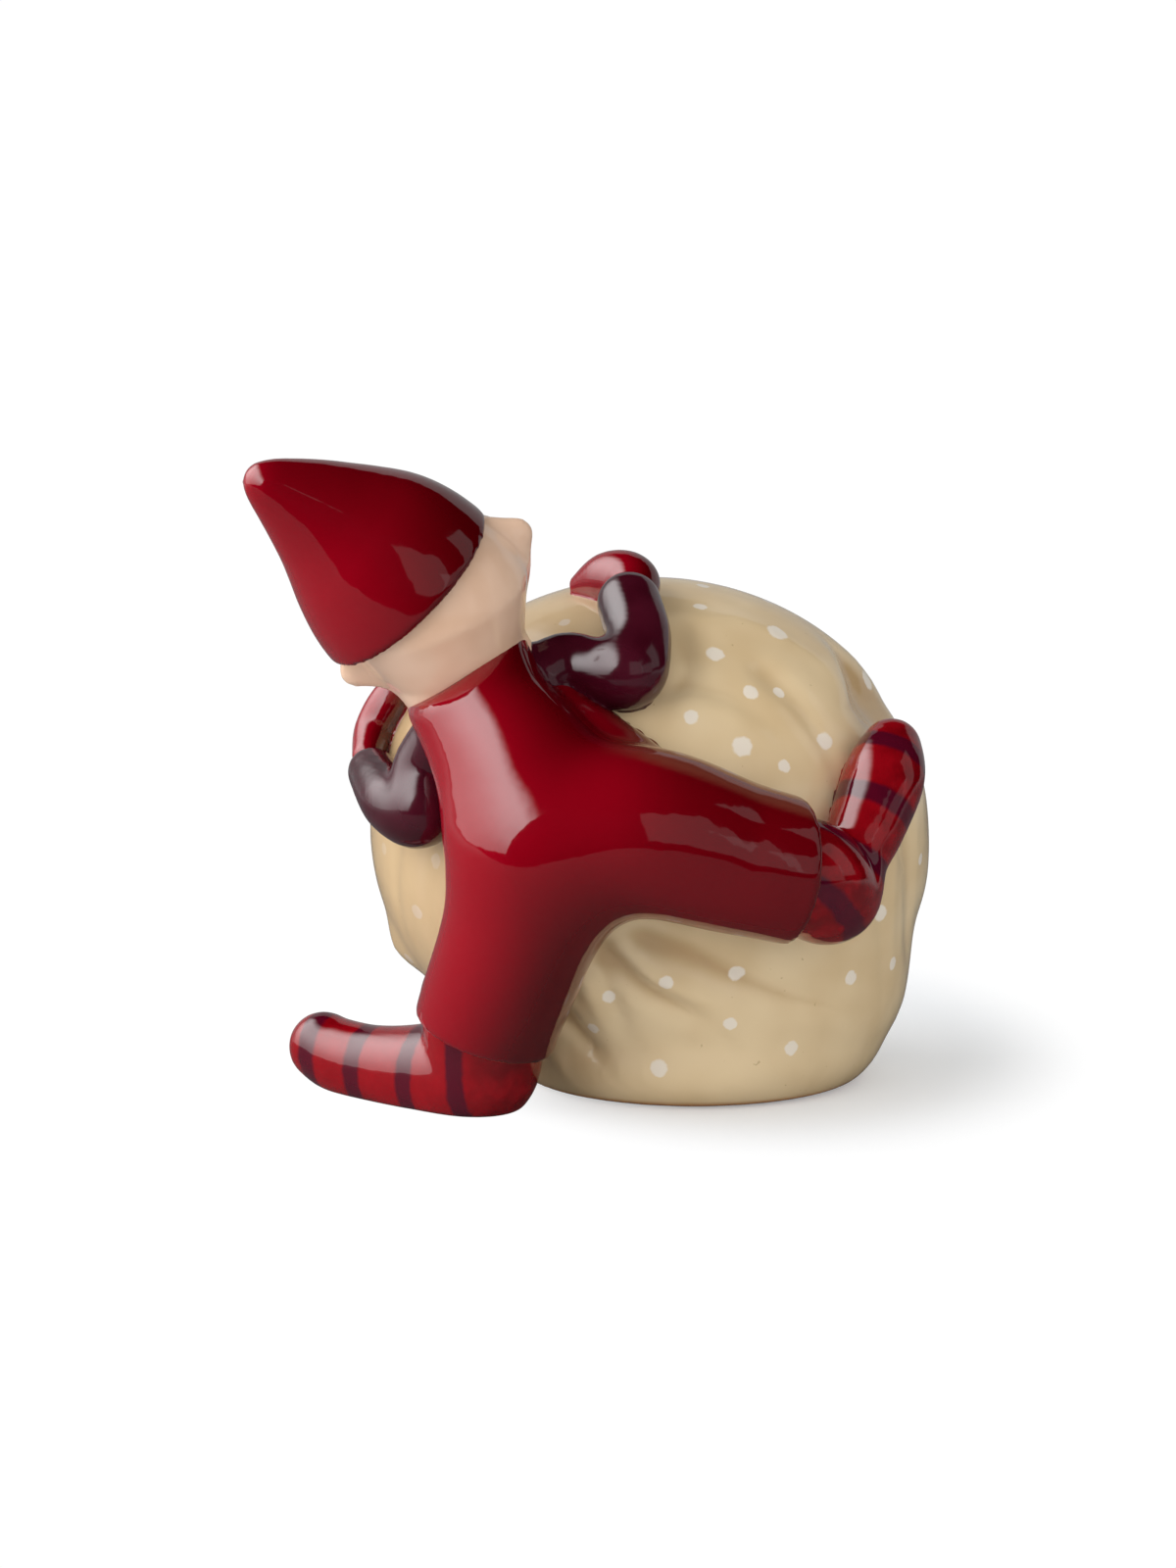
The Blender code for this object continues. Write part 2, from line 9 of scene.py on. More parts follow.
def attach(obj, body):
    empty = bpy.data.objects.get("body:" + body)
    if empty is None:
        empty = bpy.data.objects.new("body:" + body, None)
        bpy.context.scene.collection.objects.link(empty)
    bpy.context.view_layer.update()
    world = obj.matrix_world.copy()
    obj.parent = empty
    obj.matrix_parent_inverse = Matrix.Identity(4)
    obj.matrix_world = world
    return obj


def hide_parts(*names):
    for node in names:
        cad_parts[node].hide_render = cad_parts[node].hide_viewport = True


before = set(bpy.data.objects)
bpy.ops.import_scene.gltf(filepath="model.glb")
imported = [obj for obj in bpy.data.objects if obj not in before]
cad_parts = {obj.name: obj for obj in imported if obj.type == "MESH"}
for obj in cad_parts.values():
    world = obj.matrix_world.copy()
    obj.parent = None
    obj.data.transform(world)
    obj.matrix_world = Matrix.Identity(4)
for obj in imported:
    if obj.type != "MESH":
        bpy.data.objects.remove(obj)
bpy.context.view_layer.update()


# THE SACK
# A slip-cast shell of white clay in the shape of a slumped cloth sack, with the folds pressed
# in by the mould. It is dipped in a cream glaze, which is thin and pale on the ridges and runs
# brown into the hollows, over dots of white slip that were dabbed on with a brush.
SACK_RADII = Vector((0.0557, 0.0470, 0.0500))
SACK_MIDDLE = Vector((0.0094, 0.0140, 0.0500))
SAG_MIDDLE = Vector((0.0224, 0.0140, 0.01875))
SAG_RADII = Vector((0.0375, 0.0360, 0.0250))
SAG_BLEND = 0.0200
FOOT_MIDDLE = Vector((0.0179, 0.0140, 0.0))
FOOT_RADIUS = 0.0330
FOOT_EDGE = 0.0012
FOLD_DEPTH = 0.0022
FOLD_TAPER = 0.7             # how far a fold narrows and fades to its end, in shares of its width
SACK_WALL = 0.0038
POUR_HOLE_RADIUS = 0.0065
POUR_HOLE_ENDS = (-0.0500, 0.0200)
SHOWN_HOLLOW = (0.0240, 0.0240, 0.0160)
HOLE_EDGE = 0.0010
UP = Vector((0, 0, 1))


class Value:
    """A number or a vector that nodes work out at every point of a piece."""

    def __init__(self, socket):
        self.socket = socket

    def _node(self, kind, operation, others):
        tree = self.socket.id_data
        node = tree.nodes.new(kind)
        node.operation = operation
        for socket, value in zip(node.inputs, (self,) + others):
            if isinstance(value, Value):
                tree.links.new(value.socket, socket)
            else:
                socket.default_value = value
        return node

    def number(self, operation, *others):
        """The number that a sum with other values gives."""
        return Value(self._node("ShaderNodeMath", operation, others).outputs[0])

    def vector(self, operation, *others):
        """The vector that a sum with other values gives."""
        return Value(self._node("ShaderNodeVectorMath", operation, others).outputs["Vector"])

    def measure(self, operation, *others):
        """The number that a vector gives, such as its length."""
        return Value(self._node("ShaderNodeVectorMath", operation, others).outputs["Value"])

    def clamped(self):
        """This value, held between 0 and 1."""
        node = self._node("ShaderNodeMath", "ADD", (0.0,))
        node.use_clamp = True
        return Value(node.outputs[0])

    def join(self, other, blend=0.0):
        """Both forms as one, with the corner between them filled by a blend."""
        return self.number("SMOOTH_MIN", other, blend) if blend else self.number("MINIMUM", other)

    def keep(self, other, blend=0.0):
        """Only what both forms share, with its edge rounded by a blend."""
        return self.number("SMOOTH_MAX", other, blend) if blend else self.number("MAXIMUM", other)

    def cut(self, other, gap=0.0):
        """This form, cut back so that it stays a gap clear of the other one."""
        return self.keep(other.number("MULTIPLY_ADD", -1.0, gap))

    def grown(self, amount):
        """This form, with its skin moved out by an amount."""
        return self.number("SUBTRACT", amount)

    def eased(self, start, end, low=0.0, high=1.0):
        """Goes smoothly from low to high as this value goes from start to end."""
        node = self.socket.id_data.nodes.new("ShaderNodeMapRange")
        node.interpolation_type = "SMOOTHSTEP"
        self.socket.id_data.links.new(self.socket, node.inputs["Value"])
        for label, number in (("From Min", start), ("From Max", end), ("To Min", low), ("To Max", high)):
            node.inputs[label].default_value = number
        return Value(node.outputs["Result"])


def form(sculpt):
    """Keeps a form's nodes in a group of their own, which any piece's tree can use."""
    kept = {}

    def build(*spare):
        tree = bpy.data.node_groups.new(sculpt.__name__, "GeometryNodeTree")
        tree.interface.new_socket("Place", in_out="INPUT", socket_type="NodeSocketVector")
        tree.interface.new_socket("Distance", in_out="OUTPUT", socket_type="NodeSocketFloat")
        place = Value(tree.nodes.new("NodeGroupInput").outputs[0])
        distance = sculpt(place, *spare)
        tree.links.new(distance.socket, tree.nodes.new("NodeGroupOutput").inputs[0])
        return tree

    def use(place, *spare):
        if spare not in kept:
            kept[spare] = build(*spare)
        node = place.socket.id_data.nodes.new("GeometryNodeGroup")
        node.node_tree = kept[spare]
        place.socket.id_data.links.new(place.socket, node.inputs[0])
        return Value(node.outputs[0])

    return use


def limb_tree():
    """Distance to a straight limb, from its start, its run, a share finder and its two radii."""
    tree = bpy.data.node_groups.new("limb", "GeometryNodeTree")
    for label, kind in (("Place", "Vector"), ("Start", "Vector"), ("Run", "Vector"), ("Finder", "Vector"),
                        ("Radius", "Float"), ("Growth", "Float")):
        tree.interface.new_socket(label, in_out="INPUT", socket_type="NodeSocket" + kind)
    tree.interface.new_socket("Distance", in_out="OUTPUT", socket_type="NodeSocketFloat")
    given = tree.nodes.new("NodeGroupInput").outputs
    place, start, run, finder, radius, growth = (Value(given[i]) for i in range(6))
    offset = place.vector("SUBTRACT", start)
    share = offset.measure("DOT_PRODUCT", finder).clamped()
    radial = offset.vector("SUBTRACT", share.vector("MULTIPLY", run)).measure("LENGTH")
    distance = radial.number("SUBTRACT", share.number("MULTIPLY_ADD", growth, radius))
    tree.links.new(distance.socket, tree.nodes.new("NodeGroupOutput").inputs[0])
    return tree


LIMB = limb_tree()


def limb(place, start, end):
    """Distance to a straight limb between two stations, each a centre and a radius."""
    (a, near_radius), (b, far_radius) = start, end
    run = b - a
    node = place.socket.id_data.nodes.new("GeometryNodeGroup")
    node.node_tree = LIMB
    place.socket.id_data.links.new(place.socket, node.inputs[0])
    settings = (a, run, run / run.length_squared, near_radius, far_radius - near_radius)
    for socket, setting in zip(list(node.inputs)[1:], settings):
        socket.default_value = setting
    return Value(node.outputs[0])


def chain(place, stations):
    """Distance to a limb that follows all of its stations."""
    whole = limb(place, stations[0], stations[1])
    for start, end in zip(stations[1:], stations[2:]):
        whole = whole.join(limb(place, start, end))
    return whole


def egg(place, centre, radii):
    """Distance to an egg with its own radius along each axis."""
    scaled = place.vector("SUBTRACT", centre).vector("DIVIDE", radii)
    level = scaled.measure("LENGTH")
    slope = scaled.vector("DIVIDE", radii).measure("LENGTH")
    return level.number("MULTIPLY", level.number("SUBTRACT", 1.0)).number("DIVIDE", slope)


def toward(longitude, latitude):
    """A direction: degrees right of the front, and degrees up."""
    across, up = math.radians(longitude), math.radians(latitude)
    return Vector((math.cos(up) * math.sin(across), -math.cos(up) * math.cos(across), math.sin(up)))


def on_sack(longitude, latitude, lift=0.0):
    """A point over the sack's skin, its height measured square to it."""
    ray = toward(longitude, latitude)
    skin = SACK_MIDDLE + Vector(r * s for r, s in zip(SACK_RADII, ray))
    return skin + Vector(s / r for r, s in zip(SACK_RADII, ray)).normalized() * lift


# Its folds, each a line of (longitude, latitude) seen from the sack's middle, with a width in
# degrees and a depth in shares of FOLD_DEPTH: a groove, or a ridge where it is negative
FOLDS = (
    # below the raised leg, drawn out of the crotch and round to the right
    (((-2, -18), (7, -21), (17, -26), (30, -31), (41, -33), (53, -36)), 7.5, 1.1),
    (((-6, -20), (-1, -26), (6, -29), (16, -32), (30, -37)), 4.5, -0.6),
    (((-10, -20), (-5, -26), (0, -31), (7, -34), (14, -37), (22, -43)), 6.0, 1.1),
    (((-15, -27), (-13, -36), (-10, -45)), 4.5, -0.7),
    (((-11, -24), (-8, -34), (-4, -45)), 4.0, 0.6),
    (((-24, -38), (-18, -46), (-11, -49)), 5.0, 1.0),
    (((-30, -50), (-24, -55)), 4.0, -0.4),
    (((14, -36), (34, -43), (60, -44)), 8.2, -0.3),
    # above the raised leg, curving down to its cuff
    (((2, 41), (10, 42), (20, 39), (28, 31), (33, 20)), 5.7, 0.5),
    (((8, 35), (18, 33), (26, 24)), 6.2, -0.35),
    (((33, 44), (39, 34), (42, 22), (42, 12)), 5.7, 0.55),
    (((14, 60), (40, 60), (57, 46), (60, 30)), 9.3, -0.3),
    (((11, 58), (11, 46), (5, 37)), 6.2, 0.6),
    # down the right side, over the roll
    (((48, 2), (52, -8), (58, -20), (62, -34)), 5.1, 0.5),
    (((63, 4), (68, -10), (74, -24), (84, -33)), 6.2, 0.6),
    (((56, -2), (60, -14), (66, -28)), 5.1, -0.35),
    # down the left side
    (((-62, 4), (-66, -10), (-70, -26)), 5.1, 0.5),
    (((-50, 2), (-54, -14), (-56, -28)), 5.1, 0.45),
    (((-86, -28), (-94, -38)), 10.3, -0.9),
    # a flattened shoulder at the upper right, and a bulge below it
    (((78, 34), (80, 48)), 25.7, 2.3),
    (((90, -14), (90, -22)), 18.5, -0.4),
    # round the back, where the cloth hangs in the same drawn folds
    (((-110, 30), (-118, 4), (-128, -24)), 8.2, 0.6),
    (((-140, 40), (-148, 8), (-156, -26)), 8.2, 0.6),
    (((-172, 42), (-178, 10), (-186, -24)), 8.2, 0.6),
    (((150, 40), (144, 8), (138, -24)), 8.2, 0.6),
    (((118, 34), (112, 6), (108, -26)), 8.2, 0.6),
)


@form
def sack_egg(place):
    """The sack without its folds: an egg that has slumped into a roll over a round foot."""
    foot_bulge = FOOT_RADIUS / math.sqrt(0.75)
    foot = egg(place, FOOT_MIDDLE + UP * FOOT_RADIUS / 4, Vector((foot_bulge, foot_bulge, FOOT_RADIUS / 2)))
    body = egg(place, SACK_MIDDLE, SACK_RADII).join(egg(place, SAG_MIDDLE, SAG_RADII), SAG_BLEND)
    return body.join(foot, FOOT_RADIUS * 0.1)


@form
def hollows(place):
    """How deep the folds go at a place, in metres."""
    direction = place.vector("SUBTRACT", SACK_MIDDLE).vector("DIVIDE", SACK_RADII).vector("NORMALIZE")
    deep = direction.measure("DOT_PRODUCT", Vector())
    for line, width, share in FOLDS:
        thins = math.radians(width) * FOLD_TAPER / (len(line) - 1)
        near = chain(direction, [(toward(*point), -thins * i) for i, point in enumerate(line)])
        deep = deep.number("ADD", near.eased(0.0, math.radians(width), FOLD_DEPTH * share, 0.0))
    return deep


@form
def sack_form(place):
    """The sack with its folds, cut off flat at the foot."""
    return sack_egg(place).number("ADD", hollows(place)).keep(place.measure("DOT_PRODUCT", -UP), FOOT_EDGE)


@form
def sack_shell(place):
    """The sack with its pour hole, and as much of its hollow as the hole shows."""
    below, above = (FOOT_MIDDLE + UP * end for end in POUR_HOLE_ENDS)
    hole = limb(place, (below, POUR_HOLE_RADIUS), (above, POUR_HOLE_RADIUS))
    hollow = egg(place, FOOT_MIDDLE + UP * (SACK_WALL + SHOWN_HOLLOW[2]), Vector(SHOWN_HOLLOW))
    inside = hole.join(hollow, 2 * HOLE_EDGE)
    return sack_form(place).keep(inside.number("MULTIPLY", -1.0), HOLE_EDGE)


# Its dots, each with a longitude, a latitude and a radius in metres
DOTS = [
    (50, 55, 0.0023), (20, 50, 0.0018), (26, 67, 0.0014), (65, 78, 0.0014), (90, 65, 0.0014),
    (26, 39, 0.0016), (35, 39, 0.0013), (9, 33, 0.0015), (20, 26, 0.0021), (42, 26, 0.0018),
    (29, 21, 0.0014), (93, 37, 0.0022), (74, -5, 0.0013), (56, -15, 0.0018), (65, -27, 0.0014),
    (48, -28, 0.0015), (19, -26, 0.0017), (3, -27, 0.0015), (-10, -32, 0.0014), (-15, -41, 0.0013),
    (2, -46, 0.0018), (18, -36, 0.0014), (34, -41, 0.0015), (63, -42, 0.0014), (43, -46, 0.0014),
    (17, -48, 0.0013), (-12, -54, 0.0014), (-70, -2, 0.0013), (-49, -2, 0.0016), (-58, -15, 0.0016),
    (-79, -30, 0.0014), (-37, 60, 0.0012),
]

# Those round the back lie on a spiral that spaces them evenly from the top to near the foot
SPIRAL_DOTS = 80
SPIRAL_TURN = 137.5
SPIRAL_TOP = 0.95            # the sine of the highest one's latitude
SPIRAL_DROP = 1.75
BACK = (104, 262)
for count in range(SPIRAL_DOTS):
    longitude = (count * SPIRAL_TURN) % 360
    latitude = math.degrees(math.asin(SPIRAL_TOP - SPIRAL_DROP * count / SPIRAL_DOTS))
    radius = 0.0016 + 0.0004 * math.sin(count * 2.3)
    if BACK[0] < longitude < BACK[1]:
        DOTS.append((longitude + 5 * math.sin(count * 5.1), latitude, radius))


def feed(tree, kind, settings=(), **inputs):
    """A node with its settings, fed by values or set to plain ones, by the names of its inputs."""
    node = tree.nodes.new(kind)
    for setting, choice in dict(settings).items():
        setattr(node, setting, choice)
    for name, given in inputs.items():
        socket = node.inputs[name.replace("_", " ")]
        if isinstance(given, Value):
            tree.links.new(given.socket, socket)
        else:
            socket.default_value = given
    return node


MARGIN = 3                   # cells left free round a form
CRUMB = 200.0                # a loose scrap of a thin edge has fewer corners than this
DRAWS = 3                    # times that a skin is drawn onto its true form
SMOOTHINGS = 9               # times that its corners are then evened out


def cast(name, rough_form, true_form, stations, material, cell, marks=()):
    """A closed piece: a skin of cells round the rough form, halved and drawn onto the true one.

    The marks are values that the skin keeps for its glaze, by their names.
    """
    low = Vector(min(c[i] - r for c, r in stations) - MARGIN * cell for i in range(3))
    high = Vector(max(c[i] + r for c, r in stations) + MARGIN * cell for i in range(3))
    tree = bpy.data.node_groups.new(name + "_tree", "GeometryNodeTree")
    asked = {"Lowest corner": low, "Highest corner": high, "Cell": cell, "Glaze": material}
    for label, kind in zip(asked, ("Vector", "Vector", "Float", "Material")):
        tree.interface.new_socket(label, in_out="INPUT", socket_type="NodeSocket" + kind)
    tree.interface.new_socket("Piece", in_out="OUTPUT", socket_type="NodeSocketGeometry")
    given = tree.nodes.new("NodeGroupInput").outputs
    place = Value(tree.nodes.new("GeometryNodeInputPosition").outputs[0])
    lowest, highest, size = Value(given[0]), Value(given[1]), Value(given[2])
    counts = tree.nodes.new("ShaderNodeSeparateXYZ")
    steps = highest.vector("SUBTRACT", lowest).vector("DIVIDE", size.vector("MULTIPLY", Vector((1, 1, 1))))
    tree.links.new(steps.socket, counts.inputs[0])
    block = feed(tree, "GeometryNodeVolumeCube", Density=rough_form(place).number("MULTIPLY", -1.0),
                 Background=-1.0, Min=lowest, Max=highest, Resolution_X=Value(counts.outputs[0]),
                 Resolution_Y=Value(counts.outputs[1]), Resolution_Z=Value(counts.outputs[2]))
    skin = feed(tree, "GeometryNodeVolumeToMesh", Volume=Value(block.outputs[0]), Threshold=0.0)
    island = Value(tree.nodes.new("GeometryNodeInputMeshIsland").outputs["Island Index"])
    total = Value(feed(tree, "GeometryNodeAccumulateField", Group_ID=island).outputs["Total"])
    stage = feed(tree, "GeometryNodeDeleteGeometry", Geometry=Value(skin.outputs[0]),
                 Selection=total.number("LESS_THAN", CRUMB))
    stage = feed(tree, "GeometryNodeSubdivisionSurface", Mesh=Value(stage.outputs[0]), Level=1)
    normal = Value(tree.nodes.new("GeometryNodeInputNormal").outputs[0])
    for _ in range(DRAWS):
        pull = true_form(place).number("MULTIPLY", -1.0).vector("MULTIPLY", normal)
        stage = feed(tree, "GeometryNodeSetPosition", Geometry=Value(stage.outputs[0]), Offset=pull)
    rounded_off = feed(tree, "GeometryNodeBlurAttribute", {"data_type": "FLOAT_VECTOR"},
                       Iterations=SMOOTHINGS)
    tree.links.new(place.socket, rounded_off.inputs["Value"])
    stage = feed(tree, "GeometryNodeSetPosition", Geometry=Value(stage.outputs[0]),
                 Position=Value(rounded_off.outputs[0]))
    for mark, measured in dict(marks).items():
        stage = feed(tree, "GeometryNodeStoreNamedAttribute", {"data_type": "FLOAT", "domain": "POINT"},
                     Geometry=Value(stage.outputs[0]), Name=mark, Value=measured(place))
    stage = feed(tree, "GeometryNodeSetShadeSmooth", Geometry=Value(stage.outputs[0]))
    stage = feed(tree, "GeometryNodeRealizeInstances", Geometry=Value(stage.outputs[0]))
    stage = feed(tree, "GeometryNodeSetMaterial", Geometry=Value(stage.outputs[0]),
                 Material=Value(given[3]))
    tree.links.new(stage.outputs[0], tree.nodes.new("NodeGroupOutput").inputs[0])
    piece = bpy.data.objects.new(name, bpy.data.meshes.new(name))
    bpy.context.scene.collection.objects.link(piece)
    maker = piece.modifiers.new("cast", "NODES")
    maker.node_group = tree
    for socket in tree.interface.items_tree:
        if socket.name in asked:
            maker[socket.identifier] = asked[socket.name]
    made = piece.evaluated_get(bpy.context.evaluated_depsgraph_get())
    mesh = bpy.data.meshes.new_from_object(made)
    piece.modifiers.remove(maker)
    piece.data = mesh
    return piece


def facing(place, way):
    """How squarely the skin at a place faces a direction."""
    normal = Value(place.socket.id_data.nodes.new("GeometryNodeInputNormal").outputs[0])
    return normal.measure("DOT_PRODUCT", way)


def painted_shade_side(place):
    """The left of the sack, facing the lamp, where the cream is painted darker as painted shade."""
    return facing(place, toward(-90, 10)).eased(0.0, 1.0)


def shade(red, green, blue):
    """A colour in the numbers of a paint card, 0 to 255, made linear."""
    parts = (c / 255 for c in (red, green, blue))
    return tuple(c / 12.92 if c < 0.04045 else ((c + 0.055) / 1.055) ** 2.4 for c in parts) + (1.0,)


def glaze(name, roughness):
    """A fired glaze: a coloured body under a clear, glassy surface."""
    material = bpy.data.materials.new(name)
    material.use_nodes = True
    shader = material.node_tree.nodes["Principled BSDF"]
    shader.inputs["Roughness"].default_value = roughness
    shader.inputs["IOR"].default_value = 1.65
    return material, shader


def spots(tree, size, detail=2.0, seed=0.0):
    """Soft random spots of about a size, from 0 to 1, on the object's own coordinates."""
    where = Value(tree.nodes.new("ShaderNodeTexCoord").outputs["Object"])
    moved = where.vector("ADD", Vector((seed, seed * 0.7, -seed)))
    noise = feed(tree, "ShaderNodeTexNoise", Vector=moved, Scale=1.0 / size, Detail=detail)
    return Value(noise.outputs["Fac"])


def mark(tree, name):
    """What a piece's skin was marked with under a name."""
    node = tree.nodes.new("ShaderNodeAttribute")
    node.attribute_name = name
    return Value(node.outputs["Fac"])


def mixed(tree, share, first, second):
    """The second colour laid over the first by a share."""
    node = tree.nodes.new("ShaderNodeMix")
    node.data_type = "RGBA"
    for index, given in ((0, share), (6, first), (7, second)):
        if isinstance(given, Value):
            tree.links.new(given.socket, node.inputs[index])
        else:
            node.inputs[index].default_value = given
    return Value(node.outputs[2])


def finish_glaze(shader, colour, ripple):
    """Colour, and the faint ripples of a run glaze, as deep as is said."""
    tree = shader.id_data
    tree.links.new(colour.socket, shader.inputs["Base Color"])
    broad, fine = spots(tree, 0.012, 1.0, 0.31), spots(tree, 0.0035, 1.0, 0.57)
    swell = broad.number("ADD", fine.number("MULTIPLY", 0.12))
    bump = feed(tree, "ShaderNodeBump", Height=swell, Strength=1.0, Distance=ripple)
    tree.links.new(bump.outputs[0], shader.inputs["Normal"])


cream, cream_shader = glaze("cream_glaze", roughness=0.10)
cream_tree = cream.node_tree
cloudy = spots(cream_tree, 0.020).eased(0.3, 0.7)
cream_body = mixed(cream_tree, cloudy, shade(212, 185, 143), shade(226, 202, 162))
pooled = mark(cream_tree, "hollow").eased(0.0004, 0.0024, 0.0, 0.6)
cream_body = mixed(cream_tree, pooled, cream_body, shade(168, 130, 84))
ragged = spots(cream_tree, 0.0015).number("MULTIPLY_ADD", 0.5, -0.25)
dab = mark(cream_tree, "dot").number("ADD", ragged).eased(1.1, 0.8, 0.0, 0.75)
cream_body = mixed(cream_tree, dab, cream_body, shade(238, 230, 218))
# Painted shade: the cream is darkened on the left, where the lamp lights it, by the mark named turned.
painted_shade_share = mark(cream_tree, "turned").number("MULTIPLY", 0.8)
cream_body = mixed(cream_tree, painted_shade_share, cream_body, shade(186, 156, 116))
specks = spots(cream_tree, 0.0012, 1.0, 0.83).eased(0.76, 0.82, 0.0, 0.35)
cream_body = mixed(cream_tree, specks, cream_body, shade(140, 104, 58))
height = Value(cream_tree.nodes.new("ShaderNodeTexCoord").outputs["Object"]).measure("DOT_PRODUCT", UP)
bare_line = height.eased(0.0018, 0.0006, 0.0, 0.8)
cream_body = mixed(cream_tree, bare_line, cream_body, shade(190, 124, 66))
finish_glaze(cream_shader, cream_body, ripple=0.0003)

sack = cast("sack_cloth", sack_shell, sack_shell, [(SACK_MIDDLE, max(SACK_RADII))], cream,
            cell=0.00155, marks={"hollow": hollows, "turned": painted_shade_side})

# Each corner's distance to the nearest dot, in shares of the dot's radius
NO_DOT = 9.0
cloth = bvhtree.BVHTree.FromPolygons([v.co for v in sack.data.vertices],
                                     [p.vertices for p in sack.data.polygons])
corners = np.array([v.co for v in sack.data.vertices])
nearest_dot = np.full(len(corners), NO_DOT)
for longitude, latitude, radius in DOTS:
    ray = Vector(r * s for r, s in zip(SACK_RADII, toward(longitude, latitude)))
    spot = cloth.ray_cast(SACK_MIDDLE + ray * 0.5, ray)[0]
    nearest_dot = np.minimum(nearest_dot, np.linalg.norm(corners - spot, axis=1) / radius)
sack.data.attributes.new("dot", "FLOAT", "POINT").data.foreach_set("value", nearest_dot)

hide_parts("sack")
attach(sack, "root")


# THE BOOTS
# Two rounded boots, one on the floor and one against the sack, cast in one with the figurine.
# They are painted with red glaze, streaky from the brush, and rings of plum are brushed over it
# before firing.
BOOT_RADIUS = 0.0080
BOOT_LENGTH = 0.0372
CUFF_RADIUS = 0.0144
SOLE_EDGE = 0.0020
BURIED = 0.0010              # how far a piece runs on inside what it is set on
CURVE_STEPS = 12             # stations from one given station to the next
SPARSE = 4                   # one station in this many places the cells


def painted_light(place):
    """How far a place faces the lamp on the left, which sets how much painted light the red glazes get
    there.
    """
    return facing(place, toward(-75, 15)).eased(-0.4, 1.0)


def rounded(stations):
    """More stations between the given ones, on a smooth curve through them."""
    points = [stations[0]] + stations + [stations[-1]]
    curve = []
    for i in range(1, len(points) - 2):
        for step in range(CURVE_STEPS):
            t = step / CURVE_STEPS
            weights = (0.5 * (-t + 2 * t**2 - t**3), 0.5 * (2 - 5 * t**2 + 3 * t**3),
                       0.5 * (t + 4 * t**2 - 3 * t**3), 0.5 * (t**3 - t**2))
            near = points[i - 1:i + 3]
            centre = sum((w * c for w, (c, r) in zip(weights, near)), Vector())
            curve.append((centre, sum(w * r for w, (c, r) in zip(weights, near))))
    return curve + [stations[-1]]


def seated(radius, places):
    """Stations on the sack, each (longitude, latitude, share of the radius, stand off the skin)."""
    return [(on_sack(across, up, radius * share * stand), radius * share)
            for across, up, share, stand in places]


def beyond(place, point, direction):
    """Distance past a plane: positive on the side that the direction points to."""
    return place.vector("SUBTRACT", point).measure("DOT_PRODUCT", direction)


def sparse(limb_form):
    """The same form with fewer stations, which is near enough to place the cells by."""
    return lambda place: limb_form(place, SPARSE)


def set_on(piece, place, neighbours, fillet=0.0012, reach=0.0010, thinned=0.00015):
    """A piece sunk a little into what it is set on, with the corner filled up by clay and glaze.

    The fillet may reach only so far off the piece, and is thinned so that it ends in an edge.
    """
    seat = neighbours[0](place)
    for neighbour in neighbours[1:]:
        seat = seat.join(neighbour(place))
    filled = piece.join(seat, fillet).number("ADD", thinned)
    return filled.keep(piece.grown(reach)).cut(seat, -BURIED)


ANKLE = on_sack(-40.5, -40.8, BOOT_RADIUS * 1.59)
ANKLE.z = BOOT_RADIUS * 1.125
TOE_WAY = toward(-121, 0)
STANDING_BOOT = rounded([
    (ANKLE + TOE_WAY * BOOT_LENGTH * along + UP * BOOT_RADIUS * up, BOOT_RADIUS * share)
    for along, up, share in ((0.0, 1.6, 1.475), (0.0, -0.06, 1.425), (0.32, -0.35, 1.225),
                             (0.645, -0.36, 1.02), (0.88, -0.22, 0.94), (0.985, -0.04, 0.88))
])
RAISED_BOOT = rounded(seated(BOOT_RADIUS, (
    (16, 1, 1.45, 0.84), (20, 0, 1.45, 0.84), (27, -1.5, 1.42, 0.87), (32.5, -5, 1.20, 0.90),
    (37.5, 1, 0.91, 0.99), (42, 7, 0.95, 0.87), (48.5, 15.5, 1.0, 0.80), (54, 21, 0.75, 0.97))))
HEEL = Vector((0.0430, -0.0325, 0.0450))
HEEL_WAY = (RAISED_BOOT[-1][0] - HEEL).normalized()
STANDING_CUFF = ANKLE + UP * BOOT_RADIUS
STANDING_CUFF_WAY = toward(-117, -71)
RAISED_CUFF = on_sack(25, -0.5, CUFF_RADIUS * 0.66)
RAISED_CUFF_WAY = toward(110, -9)


@form
def boot_standing_form(place, spare=1):
    sole = beyond(place, Vector(), -UP)
    return set_on(chain(place, STANDING_BOOT[::spare]), place, [sack_form]).keep(sole, SOLE_EDGE)


@form
def boot_raised_form(place, spare=1):
    return set_on(chain(place, RAISED_BOOT[::spare]), place, [sack_form])


boot_glaze, boot_shader = glaze("boot_glaze", roughness=0.08)
boot_tree = boot_glaze.node_tree
streaks = spots(boot_tree, 0.004, 3.0).eased(0.3, 0.75)
boot_body = mixed(boot_tree, streaks, shade(98, 1, 8), shade(132, 5, 16))
# Painted light: the red is painted lighter on the side that faces the lamp on the left.
thin = mark(boot_tree, "painted_light").number("MULTIPLY", 0.7)
boot_body = mixed(boot_tree, thin, boot_body, shade(146, 5, 18))
ragged = spots(boot_tree, 0.003).number("MULTIPLY_ADD", 0.0012, -0.0006)
brushed = mark(boot_tree, "ring").number("ADD", ragged).eased(0.0024, 0.0014, 0.0, 0.85)
boot_body = mixed(boot_tree, brushed, boot_body, shade(62, 6, 28))
finish_glaze(boot_shader, boot_body, ripple=0.0002)


def rings(start, way, middles):
    """Distance to the middle of the nearest of the rings that lie across a boot."""
    def nearest(place):
        here = beyond(place, start, way)
        near = here.number("SUBTRACT", middles[0]).number("ABSOLUTE")
        for middle in middles[1:]:
            near = near.join(here.number("SUBTRACT", middle).number("ABSOLUTE"))
        return near
    return nearest


